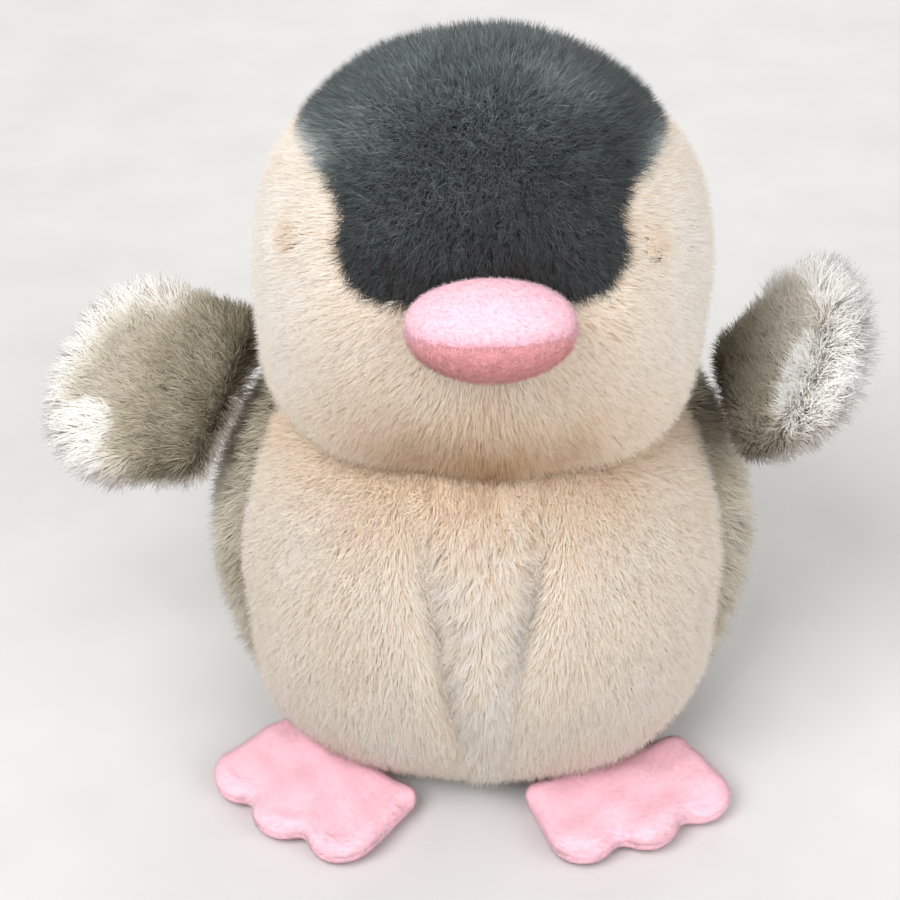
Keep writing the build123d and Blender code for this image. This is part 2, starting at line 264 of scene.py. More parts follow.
def fibres(name, root, out, rng, seed, body, material, size, width, lean, comb, tone, lock, lock_size, droop,
           bends, soft, spread):
    count = len(root)
    along = comb(root)
    along = unit(along - out * np.sum(along * out, axis=1, keepdims=True))
    slant = lean + rng.normal(0, 0.12, count)
    stray = rng.normal(0, 0.16, (count, 3)) + swirl(root, lock_size, seed + 50) * lock
    first = unit(out * (1 - slant)[:, None] + along * slant[:, None] + stray * 0.6)
    last = unit(first + along * droop + stray)
    last = unit(last + out * np.maximum(0.12 - np.sum(last * out, axis=1), 0)[:, None])
    side = unit(np.cross(first, rng.normal(size=(count, 3))))
    other = np.cross(first, side)
    half = width * rng.uniform(0.7, 1.25, count) / 2
    turns = [turn * 2 * math.pi / 3 for turn in range(3)]
    ring = [(side * math.cos(turn) + other * math.sin(turn)) * half[:, None] for turn in turns]
    levels = [(root - first * 0.3, 1.0, 0.02)]
    tip = root + (first * 0.6 + last * 0.4) * size[:, None]
    if bends == 2:
        levels.append((root + first * (size * 0.5)[:, None], 0.8, 0.5))
        tip = levels[-1][0] + last * (size * 0.5)[:, None]
    rows = [place + spoke * wide for place, wide, _ in levels for spoke in ring] + [tip]
    heights = [height for _, _, height in levels for _ in range(3)] + [0.98]
    spikes = np.stack(rows, axis=1)
    spikes[:, :, 2] = np.maximum(spikes[:, :, 2], 0.05)
    shape = spike_shape(len(levels))
    spike_faces = (shape[None] + (np.arange(count) * len(rows))[:, None, None]).reshape(-1, 3)
    shade = np.clip(tone(root) + rng.normal(0, spread, count), 0.01, 0.99)
    uv = np.stack([np.repeat(shade, len(rows)), np.tile(heights, count)], axis=1)
    bare = unit(np.stack(ring * len(levels) + [last], axis=1))
    shading = unit(out[:, None] * soft + bare * (1 - soft)).reshape(-1, 3)
    return new_object(name, spikes.reshape(-1, 3), spike_faces, material, body, shading, uv)


def spike_shape(levels):
    """The triangles of one spike: a bottom, a tube between its rings and a point."""
    shape = [(2, 1, 0)]
    for level in range(levels - 1):
        low, high = 3 * level, 3 * level + 3
        for turn in range(3):
            following = (turn + 1) % 3
            shape += [(low + turn, low + following, high + following),
                      (low + turn, high + following, high + turn)]
    top = 3 * (levels - 1)
    return np.array(shape + [(top + turn, top + (turn + 1) % 3, 3 * levels) for turn in range(3)])


# ------------------------------------------------------------------ materials
def node_tree(name):
    material = bpy.data.materials.new(name)
    material.use_nodes = True
    nodes, links = material.node_tree.nodes, material.node_tree.links
    shader = nodes["Principled BSDF"]
    return material, nodes, links, shader


def ramp(nodes, links, value, colours):
    """A colour ramp: a list of (place, (r, g, b)) with the colours as seen, in sRGB 0 to 255."""
    node = nodes.new("ShaderNodeValToRGB")
    for _ in range(len(colours) - 2):
        node.color_ramp.elements.new(0.5)
    for element, (place, colour) in zip(node.color_ramp.elements, colours):
        element.position = place
        element.color = (*[linear(c) for c in colour], 1)
    links.new(value, node.inputs["Fac"])
    return node.outputs["Color"]


def linear(value):
    value = value / 255
    return value / 12.92 if value <= 0.04045 else ((value + 0.055) / 1.055) ** 2.4


def mix(nodes, links, factor, a, b, mode="MIX"):
    node = nodes.new("ShaderNodeMix")
    node.data_type = "RGBA"
    node.blend_type = mode
    for socket, value in ((node.inputs[0], factor), (node.inputs[6], a), (node.inputs[7], b)):
        if hasattr(value, "is_output"):
            links.new(value, socket)
        else:
            socket.default_value = value
    return node.outputs[2]


def fibre_material(name, tones, painted_root_shade, sheen=0.25, roughness=0.85):
    """Fibre colour: tone from the fibre's own shade value, with painted shade that darkens it toward the
    root, for the shadow deep in the pile.
    """
    material, nodes, links, shader = node_tree(name)
    uv = nodes.new("ShaderNodeUVMap")
    uv.uv_map = "OFBake"
    split = nodes.new("ShaderNodeSeparateXYZ")
    links.new(uv.outputs["UV"], split.inputs["Vector"])
    colour = ramp(nodes, links, split.outputs["X"], tones)
    # painted shade: this ramp darkens each fibre toward its root, standing in for the shadow between fibres
    depth = ramp(nodes, links, split.outputs["Y"], [(0.0, painted_root_shade), (0.75, (255, 255, 255))])
    colour = mix(nodes, links, 1.0, colour, depth, "MULTIPLY")
    links.new(colour, shader.inputs["Base Color"])
    shader.inputs["Roughness"].default_value = roughness
    shader.inputs["Specular IOR Level"].default_value = 0.25
    shader.inputs["Sheen Weight"].default_value = sheen
    shader.inputs["Sheen Roughness"].default_value = 0.5
    return material


def cloth_material(name, colour, shade, grain=900.0, bump=0.3, roughness=0.9):
    """Knitted backing: small rows of loops with uneven dye."""
    material, nodes, links, shader = node_tree(name)
    where = nodes.new("ShaderNodeTexCoord").outputs["Object"]
    speckle = nodes.new("ShaderNodeTexNoise")
    speckle.inputs["Scale"].default_value = grain
    speckle.inputs["Detail"].default_value = 3.0
    rows = nodes.new("ShaderNodeTexWave")
    rows.inputs["Scale"].default_value = grain * 0.9
    rows.inputs["Distortion"].default_value = 1.5
    for texture in (speckle, rows):
        links.new(where, texture.inputs["Vector"])
    colour = ramp(nodes, links, speckle.outputs["Fac"], [(0.3, shade), (0.7, colour)])
    links.new(colour, shader.inputs["Base Color"])
    relief = nodes.new("ShaderNodeBump")
    relief.inputs["Strength"].default_value = bump
    relief.inputs["Distance"].default_value = 0.0002
    links.new(rows.outputs["Fac"], relief.inputs["Height"])
    links.new(relief.outputs["Normal"], shader.inputs["Normal"])
    shader.inputs["Roughness"].default_value = roughness
    shader.inputs["Sheen Weight"].default_value = 0.05
    return material


def plastic_material(name, colour, shade, roughness):
    """Moulded plastic with faint scuffs."""
    material, nodes, links, shader = node_tree(name)
    where = nodes.new("ShaderNodeTexCoord").outputs["Object"]
    scuff = nodes.new("ShaderNodeTexNoise")
    scuff.inputs["Scale"].default_value = 700.0
    scuff.inputs["Detail"].default_value = 4.0
    links.new(where, scuff.inputs["Vector"])
    scuffed = ramp(nodes, links, scuff.outputs["Fac"], [(0.35, shade), (0.65, colour)])
    links.new(scuffed, shader.inputs["Base Color"])
    relief = nodes.new("ShaderNodeBump")
    relief.inputs["Strength"].default_value = 0.08
    relief.inputs["Distance"].default_value = 0.0001
    links.new(scuff.outputs["Fac"], relief.inputs["Height"])
    links.new(relief.outputs["Normal"], shader.inputs["Normal"])
    shader.inputs["Roughness"].default_value = roughness
    return material


CHARCOAL = fibre_material(
    "charcoal_pile", [(0.0, (62, 52, 52)), (0.3, (74, 82, 84)), (0.6, (110, 119, 120)),
                      (0.85, (158, 166, 166)),
                      (1.0, (232, 233, 230))],
    (214, 211, 211), sheen=0.05)
# the warm-brown low end of the cream ramp is the colour of painted shade, under the beak, under the head and
# in the eye dimples
CREAM = fibre_material(
    "cream_pile", [(0.0, (188, 142, 104)), (0.2, (226, 196, 164)), (0.45, (246, 227, 205)),
                   (0.7, (253, 242, 228)),
                   (1.0, (255, 252, 246))],
    (244, 228, 210), sheen=0.05)
GREY = fibre_material(
    "grey_pile", [(0.0, (112, 104, 84)), (0.3, (184, 175, 155)), (0.6, (220, 212, 198)),
                  (0.85, (246, 241, 233)),
                  (1.0, (255, 254, 251))],
    (196, 190, 178), sheen=0.05)
WHITE = fibre_material(
    "white_pile", [(0.0, (232, 206, 196)), (0.5, (252, 245, 240)), (1.0, (255, 254, 253))],
    (242, 228, 220), sheen=0.05)
PINK = fibre_material(
    "pink_velour", [(0.0, (238, 150, 168)), (0.3, (250, 190, 206)), (0.65, (250, 212, 223)),
                    (1.0, (252, 230, 237))],
    (248, 226, 230), sheen=0.05)
DUSKY = fibre_material(
    "dusky_velour", [(0.0, (184, 116, 112)), (0.5, (226, 158, 158)), (1.0, (248, 196, 202))],
    (236, 206, 206), sheen=0.05)
CREAM_CLOTH = cloth_material("cream_cloth", (248, 232, 212), (236, 214, 190))
DARK_CLOTH = cloth_material("dark_cloth", (58, 62, 63), (42, 45, 46))
GREY_CLOTH = cloth_material("grey_cloth", (168, 160, 142), (140, 132, 115))
WHITE_CLOTH = cloth_material("white_cloth", (232, 222, 212), (206, 190, 176))
PINK_CLOTH = cloth_material("pink_cloth", (251, 202, 214), (246, 186, 201), grain=2400.0, bump=0.1)
DUSKY_CLOTH = cloth_material("dusky_cloth", (222, 156, 158), (202, 134, 136), grain=2400.0, bump=0.1)
FIBRE_FILL = cloth_material("fibre_fill", (240, 240, 236), (214, 214, 208), grain=300.0, bump=0.8)
BAG_CLOTH = cloth_material("bag_cloth", (214, 206, 190), (186, 176, 158), grain=600.0)
EYE_BLACK = plastic_material("eye_black", (12, 11, 11), (5, 5, 5), 0.08)
WASHER_WHITE = plastic_material("washer_white", (226, 226, 220), (206, 206, 200), 0.45)


# ------------------------------------------------------------------ sewing a panel
def dress(panel, sheet, cloth, body, depth=1.0):
    """A closed cloth skin in place of one CAD panel."""
    points, faces, normals = sheet
    skin = new_object(f"{panel}_skin", *thick(points, faces, normals, depth), cloth, body)
    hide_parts(panel)
    return skin


def cut(points, faces, normals, keep):
    """The part of a surface that keep says, with its normals."""
    return (*part_of(points, faces, keep), part_of(normals, faces, keep)[0])


# ------------------------------------------------------------------ head
HEAD_PILE_DEPTH = 3.4
EYES = {side: angles(unit(sum(node_box(f"{name}_eye"))[None] / 2 - HEAD))
        for name, side in (("left", 1), ("right", -1))}


EYE_SLANT = math.radians(24.0)


def eye_slit(around, up, wide, tall):
    """1 in the short slanting dimple where a sewn eye pulls the cheek in, falling off to 0."""
    pull = np.zeros(len(around))
    for side, (eye_around, eye_up) in EYES.items():
        across = (around - eye_around[0]) * side * math.cos(math.radians(eye_up[0]))
        over = up - eye_up[0] - 2.0
        u = across * math.cos(EYE_SLANT) - over * math.sin(EYE_SLANT)
        v = over * math.cos(EYE_SLANT) + across * math.sin(EYE_SLANT)
        pull += bell(np.hypot(u / wide, v / tall), 1.0)
    return pull


def cap_edge(around):
    """How high the seam between cap and cheek lies, by degrees around from the face."""
    return np.interp(np.abs(around), CAP_SEAM[:, 0], CAP_SEAM[:, 1])


def jowl(around, up):
    """The full lower cheeks, which rest on the shoulders and thin out below them."""
    side = smooth(15, 50, np.abs(around)) * (1 - smooth(105, 150, np.abs(around)))
    return side * bell((up + 36) / 17, 1.0) * smooth(-46, -36, up)


def head_surface(d):
    """The head's cloth surface for directions from its centre, in millimetres."""
    around, up = angles(d)
    radius = np.full(len(d), HEAD_RADIUS - HEAD_PILE_DEPTH)
    radius += JOWL * jowl(around, up)
    radius -= 0.8 * eye_slit(around, up, 7.0, 12.0)
    radius -= 1.4 * bell(np.hypot(around / 24, (up - 12) / 16), 1.0)
    radius -= 0.8 * bell(up - cap_edge(around), 3.0) * (np.abs(around) > 22)
    radius += 0.5 * waves(d * HEAD_RADIUS, 26, 11)
    return HEAD + d * np.maximum(radius, HEAD_CORE + 0.4)[:, None]


def head_panel(d):
    """Which panel a direction belongs to: 0 cap, 1 left cheek, 2 right cheek, 3 nape."""
    around, up = angles(d)
    panel = np.where(up > cap_edge(around), 0, np.where(d[:, 0] > 0, 1, 2))
    return np.where(HEAD[1] + d[:, 1] * HEAD_RADIUS > NAPE_SEAM_Y, 3, panel)


def cap_comb(points):
    """Cap pile combed forward from the crown and a little to the sides."""
    d = unit(points - HEAD)
    return np.stack([d[:, 0] * 0.7, np.full(len(d), -1.0), np.full(len(d), -0.35)], axis=1)


def nape_comb(points):
    """Nape pile combed down."""
    return np.tile([0.0, 0.3, -1.0], (len(points), 1))


def cheek_comb(points):
    """Cheek pile brushed back from the beak and down."""
    d = unit(points - HEAD)
    return np.stack([np.clip(d[:, 0] * 3, -1, 1) * 0.8, np.full(len(d), 0.4), np.full(len(d), -0.7)], axis=1)


def cap_tone(points):
    around, up = angles(unit(points - HEAD))
    tone = 0.30 + 0.05 * waves(points, 9, 21) + 0.05 * waves(points, 2.5, 22)
    # painted highlight: the cap is lighter toward the top, where the light from above falls
    tone += 0.26 * smooth(42, 78, up)
    temple = smooth(48, 72, np.abs(around)) * (1 - smooth(84, 100, np.abs(around)))
    tone += 0.60 * bell(up - cap_edge(around), 5.0) * temple
    # painted highlight: a lighter patch high on the -x side, standing in for sheen
    tone += 0.30 * bell(np.hypot((around + 62) / 24, (up - 50) / 14), 1.0)
    tone += 0.14 * bell(np.hypot((around - 60) / 30, (up - 66) / 9), 1.0)
    return tone - 0.26 * bell(np.hypot(around / 30, (up - 20) / 10), 1.0)


def nape_tone(points):
    return 0.30 + 0.06 * waves(points, 9, 23) + 0.05 * waves(points, 2.5, 24)


def cheek_tone(points):
    around, up = angles(unit(points - HEAD))
    # painted shade: the cheeks darken toward the ramp's warm-brown end low at the front, under the beak
    tone = 0.60 + 0.05 * waves(points, 12, 31) - 0.50 * bell(np.hypot(around / 42, (up + 34) / 19), 1.0)
    # painted highlight: lighter out at the sides of the face
    tone += 0.30 * bell(np.hypot((np.abs(around) - 66) / 26, (up - 8) / 38), 1.0)
    # painted shade in the slanting eye dimples
    return tone - 0.26 * eye_slit(around, up, 3.0, 7.5)


def cheek_trim(points):
    """Longer pile that closes over the eyes, and short pile down in the neck."""
    around, up = angles(unit(points - HEAD))
    return (1 + 0.32 * eye_slit(around, up, 5.0, 8.0)) * neck_trim(points)


def neck_trim(points):
    """Head pile is pressed short where the head sits down in the body."""
    return 0.5 + 0.5 * smooth(44, 51, np.linalg.norm(points - BODY, axis=1))


def eye_dimple_shade_tone(points):
    # painted shade: the pile over the eyes is a darker cream, for the shade in the eye dimples
    return np.full(len(points), 0.40)


def close_over_eyes(directions, faces, normals):
    """Pile that lies over the sewn-in eyes and all but hides them."""
    middle = unit(directions[faces].mean(axis=1))
    _, up = angles(middle)
    for name, eye_up, bare in (("left", EYES[1][1], 0.8), ("right", EYES[-1][1], 9.0)):
        toward = unit(sum(node_box(f"{name}_eye")) / 2 - HEAD)
        over_eye = (middle @ toward > math.cos(math.radians(3.6))) & (up > eye_up - bare)
        sheet = cut(HEAD + directions * (HEAD_CORE + 2.3), faces, normals, over_eye)
        grow(f"cheek_{name}_eye_pile", sheet, "head", CREAM, 120, 26.0, 1.9, 0.20, 0.6,
             cheek_comb,
             eye_dimple_shade_tone, lock=0.1)


def build_head(directions, faces):
    surface = head_surface(directions)
    panel = head_panel(unit(directions[faces].mean(axis=1)))
    normals = corner_normals(surface, faces)
    buried = np.linalg.norm(surface[faces].mean(axis=1) - BODY, axis=1) < BELLY_RADIUS - 14
    looks = {
        0: ("head_cap", CHARCOAL, DARK_CLOTH, "charcoal_plush", 19.0, 4.4, 0.16, 0.34,
            cap_comb, cap_tone, 0.42, 1.6, 0.13, neck_trim),
        1: ("cheek_left", CREAM, CREAM_CLOTH, "cream_plush", 13.0, 3.9, 0.20, 0.36,
            cheek_comb, cheek_tone, 0.16, 2.0, 0.05, cheek_trim),
        2: ("cheek_right", CREAM, CREAM_CLOTH, "cream_plush", 13.0, 3.9, 0.20, 0.36,
            cheek_comb, cheek_tone, 0.16, 2.0, 0.05, cheek_trim),
        3: ("head_back", CHARCOAL, DARK_CLOTH, "charcoal_plush", 12.0, 4.4, 0.20, 0.42,
            nape_comb, nape_tone, 0.42, 1.6, 0.13, neck_trim),
    }
    for key, (node, dye, cloth, slot, per_mm2, length, width, lean, comb, tone, lock, lock_size, spread,
              trim) in looks.items():
        mine = panel == key
        dress(node, cut(surface, faces, normals, mine), cloth, "head")
        grow(f"{node}_pile", cut(surface, faces, normals, mine & ~buried), "head", dye, 100 + key,
             per_mm2, length, width, lean, comb, tone, lock=lock, lock_size=lock_size, spread=spread,
             trim=trim)
    close_over_eyes(directions, faces, normals)


# ------------------------------------------------------------------ body
BODY_PILE_DEPTH = 3.4
BACK_PILE_DEPTH = 5.0
FLOOR_SKIN = 1.6


def gusset_half_width(z):
    return np.interp(z, [0, 20, 84], [2.5, 3.5, 14])


def behind_side_seam(points):
    return points[:, 1] - np.interp(points[:, 2], SIDE_SEAM[:, 1], SIDE_SEAM[:, 0])


def body_surface(d):
    """The body's cloth surface for directions from its centre, in millimetres."""
    around, up = angles(d)
    rough = BODY + d * BELLY_RADIUS
    beyond = behind_side_seam(rough)
    front = BELLY_RADIUS - BODY_PILE_DEPTH
    front = front + BELLY_FULLNESS * bell(np.hypot((np.abs(around) - 44) / 28, (up + 30) / 24), 1.0)
    front += 1.2 * bell(np.hypot((np.abs(around) - 30) / 20, (up - 5) / 26), 1.0)
    edge = np.abs(rough[:, 0]) - gusset_half_width(rough[:, 2])
    crease = smooth(8, 20, rough[:, 2]) * (1 - smooth(62, 80, rough[:, 2])) * (np.abs(around) < 60)
    side = np.where(rough[:, 0] > 0, bell((rough[:, 2] - 54) / 16, 1.0), bell((rough[:, 2] - 42) / 26, 1.0))
    front -= TUFT_CREASE * bell(edge, 3.6) * crease * (0.3 + 0.7 * side)
    front += 0.9 * bell(rough[:, 0] / 7, 1.0) * bell((rough[:, 2] - 34) / 20, 1.0)
    rear = BACK_RADIUS - BACK_PILE_DEPTH
    radius = front + (rear - front) * smooth(-1.0, 4.0, beyond)
    radius -= 2.4 * bell(beyond, 3.5)
    shoulder = smooth(40, 60, np.abs(around)) * (1 - smooth(105, 130, np.abs(around)))
    radius -= 2.0 * bell((up - 52) / 12, 1.0) * shoulder
    radius += 0.6 * waves(d * BELLY_RADIUS, 30, 12)
    points = BODY + d * radius[:, None]
    points[:, 2] = np.maximum(points[:, 2], FLOOR_SKIN)
    return points


def body_panel(d):
    """0 and 1 left and right belly, 2 the centre panel, 3 and 4 left and right back, 5 base."""
    rough = BODY + d * BELLY_RADIUS
    panel = np.where(rough[:, 0] > 0, 0, 1)
    panel = np.where(np.abs(rough[:, 0]) < gusset_half_width(rough[:, 2]), 2, panel)
    panel = np.where(behind_side_seam(rough) > 0, np.where(rough[:, 0] > 0, 3, 4), panel)
    return np.where(rough[:, 2] < 0.5, 5, panel)


def belly_comb(points):
    d = unit(points - BODY)
    inward = -np.clip(d[:, 0] * 3, -1, 1) * 0.25
    return np.stack([inward, np.full(len(d), -0.2), np.full(len(d), -1.0)], axis=1)


def back_comb(points):
    d = unit(points - BODY)
    return np.stack([d[:, 0] * 0.7, np.full(len(d), -0.2), np.full(len(d), -0.9)], axis=1)


def belly_tone(points):
    tone = 0.72 + 0.05 * waves(points, 16, 41) + 0.03 * waves(points, 5, 42)
    # painted shade: the belly pile darkens toward the ramp's warm-brown end from 58 to 82 mm up, where the
    # head shades it
    return tone - 0.42 * smooth(58, 82, points[:, 2])


def tuft_tone(points):
    return belly_tone(points) + 0.14 * bell((points[:, 2] - 36) / 26, 1.0) + 0.10 * waves(points, 5, 43)


def back_tone(points):
    beyond = behind_side_seam(points)
    tone = 0.28 + 0.10 * waves(points, 10, 51) + 0.06 * waves(points, 3, 52)
    return tone + 0.34 * bell((beyond - 14) / 12, 1.0) * (1 - smooth(50, 70, points[:, 2]))


def collar_trim(points):
    """Body pile is pressed short under the head."""
    return 0.75 + 0.25 * smooth(HEAD_RADIUS, HEAD_RADIUS + 5, np.linalg.norm(points - HEAD, axis=1))


def build_fill(node, centre, surface):
    """A stuffing's own form, pressed in wherever the cloth over it is drawn in. Its hollows stay."""
    points, faces = fused_form((node,), 1.2, 1, 0.0)
    out = unit(points - centre)
    cloth = np.linalg.norm(surface(out) - centre, axis=1) - 1.0
    reach = np.minimum(np.linalg.norm(points - centre, axis=1), cloth)
    fill = new_object(f"{node}_fill", centre + out * reach[:, None], faces, FIBRE_FILL, "body")
    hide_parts(node)


def build_body(directions, faces):
    surface = body_surface(directions)
    panel = body_panel(unit(directions[faces].mean(axis=1)))
    normals = corner_normals(surface, faces)
    from_head = np.linalg.norm(surface[faces].mean(axis=1) - HEAD, axis=1)
    looks = {
        0: ("belly_left", CREAM, CREAM_CLOTH, "cream_plush", 12.5, 4.0, 0.20, 0.38,
            belly_comb, belly_tone, 1, 0.12),
        1: ("belly_right", CREAM, CREAM_CLOTH, "cream_plush", 12.5, 4.0, 0.20, 0.38,
            belly_comb, belly_tone, 1, 0.12),
        2: ("belly_centre", CREAM, CREAM_CLOTH, "cream_plush", 12.5, 4.8, 0.20, 0.36,
            belly_comb, tuft_tone, 1, 0.4),
        3: ("back_left", GREY, GREY_CLOTH, "grey_plush", 7.0, 6.2, 0.20, 0.42, back_comb, back_tone, 2, 0.4),
        4: ("back_right", GREY, GREY_CLOTH, "grey_plush", 7.0, 6.2, 0.20, 0.42, back_comb, back_tone, 2, 0.4),
        5: ("base_panel", CREAM, CREAM_CLOTH, "cream_plush", 0, 0, 0, 0, None, None, 1, 0),
    }
    for key, (node, dye, cloth, slot, per_mm2, length, width, lean, comb, tone, bends, lock) in looks.items():
        mine = (panel == key) & (from_head > HEAD_RADIUS - 2.8)
        dress(node, cut(surface, faces, normals, mine), cloth, "body")
        if per_mm2:
            grow(f"{node}_pile", cut(surface, faces, normals, mine), "body", dye, 200 + key,
                 per_mm2, length,
                 width, lean, comb, tone, bends=bends, lock=lock, trim=collar_trim)


# ------------------------------------------------------------------ pads: wings, feet, tail, beak
class Pad:
    """A flat sewn pad of two panels: its smooth form from the solids, and its own directions."""

    def __init__(self, upper, lower, hinge, inset, voxel=0.9, rounds=6):
        self.points, self.faces = fused_form((upper, lower), voxel, rounds, inset)
        self.normals = corner_normals(self.points, self.faces)
        centre = {node: frame_points(node).mean(axis=0) for node in (upper, lower)}
        self.root = hub(hinge) if hinge else self.points.mean(axis=0)
        self.up = unit(centre[upper] - centre[lower])
        middle = (centre[upper] + centre[lower]) / 2
        if hinge:
            axis = unit(np.array(JOINTS[hinge]["axis"], float))
            along = np.cross(axis, self.up)
            self.along = unit(along * np.sign((middle - self.root) @ along))
        else:
            self.along = np.array([0.0, -1.0, 0.0])
        self.side = np.cross(self.up, self.along)
        self.reach = ((self.points - self.root) @ self.along).max()
        outline = self.points[(np.abs(self.height(self.points)) < 0.5) & (self.out(self.points) > 0.15)]
        self.outline = self.flat(outline)[::3]

    def height(self, points):
        return (points - self.root) @ self.up

    def out(self, points):
        """How far along the pad a point is, from 0 at the seam to 1 at the tip."""
        return (points - self.root) @ self.along / self.reach

    def flat(self, points):
        """Places on the pad seen from above: across it and along it, in millimetres."""
        return np.stack([(points - self.root) @ self.side, (points - self.root) @ self.along], axis=1)

    def from_edge(self, points):
        """How far a point is from the pad's outline, seen from above."""
        gap = np.full(len(points), np.inf)
        where = self.flat(points)
        for spot in self.outline:
            gap = np.minimum(gap, np.hypot(*(where - spot).T))
        return gap

    def halves(self):
        above = self.height(self.points[self.faces].mean(axis=1)) > 0.0
        return (cut(self.points, self.faces, self.normals, above),
                cut(self.points, self.faces, self.normals, ~above))

    def outward(self, points):
        """Directions away from the middle of the root, fanned toward the edges."""
        away = (points - self.root) @ self.side / (self.reach * 0.6)
        return self.along + self.side * away[:, None]


def frame_points(node):
    return read_mesh(frame["nodes"][node].data)[0] / MM


def build_wing(name, seed, shade, lobe, lobe_size, rim_middle, rim_width):
    """A wing: grey above with a pale shaggy rim and a white lobe at one corner, white below.

    lobe and rim_middle are places across and along the wing; the rim is widest there. Millimetres."""
    pad = Pad(f"{name}_wing_grey", f"{name}_wing_white", f"{name}_wing_flap", 3.0)
    body = f"{name}_wing"
    grey, white = pad.halves()

    def grey_tone(points):
        across, along = pad.flat(points).T
        # painted shade on top of the grey's own tone: darker toward the root, where the head and body shade
        # the wing
        tone = shade + 0.36 * smooth(-0.1, 0.75, pad.out(points))
        tone += 0.05 * waves(points, 7, 61) + 0.05 * waves(points, 2.5, 62)
        from_edge = pad.from_edge(points)
        near_rim = bell(np.hypot(across - rim_middle[0], along - rim_middle[1]) / 17, 1.0)
        rim = 1 - smooth(1.0, 4.0 + rim_width * near_rim, from_edge)
        tone += 0.55 * rim * smooth(0.15, 0.5, pad.out(points))
        spot = np.hypot(across - lobe[0], along - lobe[1])
        return tone + 0.6 * (1 - smooth(lobe_size - 1.5, lobe_size + 1.5, spot))

    def shag(points):
        return 1 + 0.4 * (1 - smooth(0.5, 4.0, pad.from_edge(points))) * smooth(0.2, 0.6, pad.out(points))

    def white_tone(points):
        return 0.68 + 0.10 * waves(points, 6, 63) + 0.25 * smooth(0.3, 0.9, pad.out(points))

    dress(f"{name}_wing_grey", grey, GREY_CLOTH, body)
    dress(f"{name}_wing_white", white, WHITE_CLOTH, body)
    grow(f"{name}_wing_grey_pile", grey, body, GREY, seed, 12.0, 4.4, 0.19, 0.40,
         pad.outward, grey_tone, bends=2, lock=0.3, spread=0.08, trim=shag)
    grow(f"{name}_wing_white_pile", white, body, WHITE, seed + 1, 10.0, 4.8, 0.20, 0.42,
         pad.outward, white_tone, bends=2, lock=0.35, trim=shag)


def build_tail():
    pad = Pad("tail_upper", "tail_lower", "tail_flex", 2.2)
    upper, lower = pad.halves()

    def grey_tone(points):
        return 0.3 + 0.4 * smooth(0.0, 1.0, pad.out(points)) + 0.12 * waves(points, 5, 64)

    def white_tone(points):
        return 0.55 + 0.15 * waves(points, 5, 65)

    dress("tail_upper", upper, GREY_CLOTH, "tail")
    dress("tail_lower", lower, WHITE_CLOTH, "tail")
    grow("tail_upper_pile", upper, "tail", GREY, 300, 7.5, 4.6, 0.30, 0.55,
         pad.outward, grey_tone,
         bends=2, lock=0.6)
    grow("tail_lower_pile", lower, "tail", WHITE, 301, 7.5, 3.2, 0.30, 0.7,
         pad.outward, white_tone,
         bends=2, lock=0.5)


def build_foot(name, seed, stretch):
    pad = Pad(f"{name}_foot_top", f"{name}_foot_sole", f"{name}_foot_flex", 0.7, voxel=0.7, rounds=5)
    body = f"{name}_foot"
    out = pad.out(pad.points)
    pad.points = pad.points + pad.along * (stretch * smooth(0.3, 1.0, out))[:, None]
    lift = 0.45 * waves(pad.points, 9, seed) * smooth(0, 1.5, pad.height(pad.points))
    seam = 0.12 * bell(pad.height(pad.points), 0.7) * smooth(0.1, 0.2, pad.out(pad.points))
    pad.points = pad.points + pad.normals * (lift - seam)[:, None]
    pad.normals = corner_normals(pad.points, pad.faces)
    top, sole = pad.halves()

    def edge_fuzz(points):
        return 1 + 0.9 * (1 - smooth(0.5, 3.0, pad.from_edge(points)))

    def velour_tone(points):
        tone = 0.68 + 0.10 * waves(points, 8, seed + 2) + 0.05 * waves(points, 2, seed + 3)
        # painted shade: darker near the root, where the foot goes under the belly
        return tone - 0.14 * (1 - smooth(0.0, 0.3, pad.out(points)))

    dress(f"{name}_foot_top", top, PINK_CLOTH, body, depth=0.8)
    dress(f"{name}_foot_sole", sole, PINK_CLOTH, body, depth=0.8)
    grow(f"{name}_foot_top_pile", top, body, PINK, seed, 15.0, 0.55, 0.10, 0.15, pad.outward,
         velour_tone, lock=0.15, lock_size=2.0, soft=0.95, spread=0.1, trim=edge_fuzz)
    grow(f"{name}_foot_sole_pile", sole, body, PINK, seed + 1, 14.0, 0.55, 0.14, 0.5,
         pad.outward,
         velour_tone, lock=0.2, lock_size=2.0)


def build_beak():
    pad = Pad("beak_upper", "beak_lower", None, 0.5, voxel=0.6, rounds=18)
    lip = pad.height(pad.points)
    plump = 0.5 * smooth(0.5, 3.5, lip) - 0.2 * bell(lip, 0.6)
    pad.points = pad.points + pad.normals * plump[:, None]
    pad.normals = corner_normals(pad.points, pad.faces)
    upper, lower = pad.halves()

    def upper_tone(points):
        # painted shade: darker within 3 mm of the lip, where the top turns down, which also blends it into
        # the darker lower pile
        return 0.66 + 0.05 * waves(points, 7, 71) - 0.3 * (1 - smooth(0, 3, pad.height(points)))

    def lower_tone(points):
        # painted shade: the lower pile is darker further from the lip, under the beak
        return 0.50 + 0.10 * waves(points, 3, 72) + 0.35 * smooth(-3, 0, pad.height(points))

    def down(points):
        return np.tile([0.0, -0.4, -0.9], (len(points), 1))

    def lip_fringe(points):
        return 1 + 1.3 * bell(pad.height(points), 1.2)

    dress("beak_upper", upper, PINK_CLOTH, "head", depth=0.6)
    dress("beak_lower", lower, DUSKY_CLOTH, "head", depth=0.6)
    grow("beak_upper_pile", upper, "head", PINK, 400, 17.0, 0.6, 0.10, 0.3, down, upper_tone,
         lock=0.2, lock_size=1.5, soft=0.95, spread=0.1, trim=lip_fringe)
    grow("beak_lower_pile", lower, "head", DUSKY, 401, 17.0, 0.9, 0.11, 0.3, down,
         lower_tone, lock=0.5, lock_size=1.5, spread=0.12)


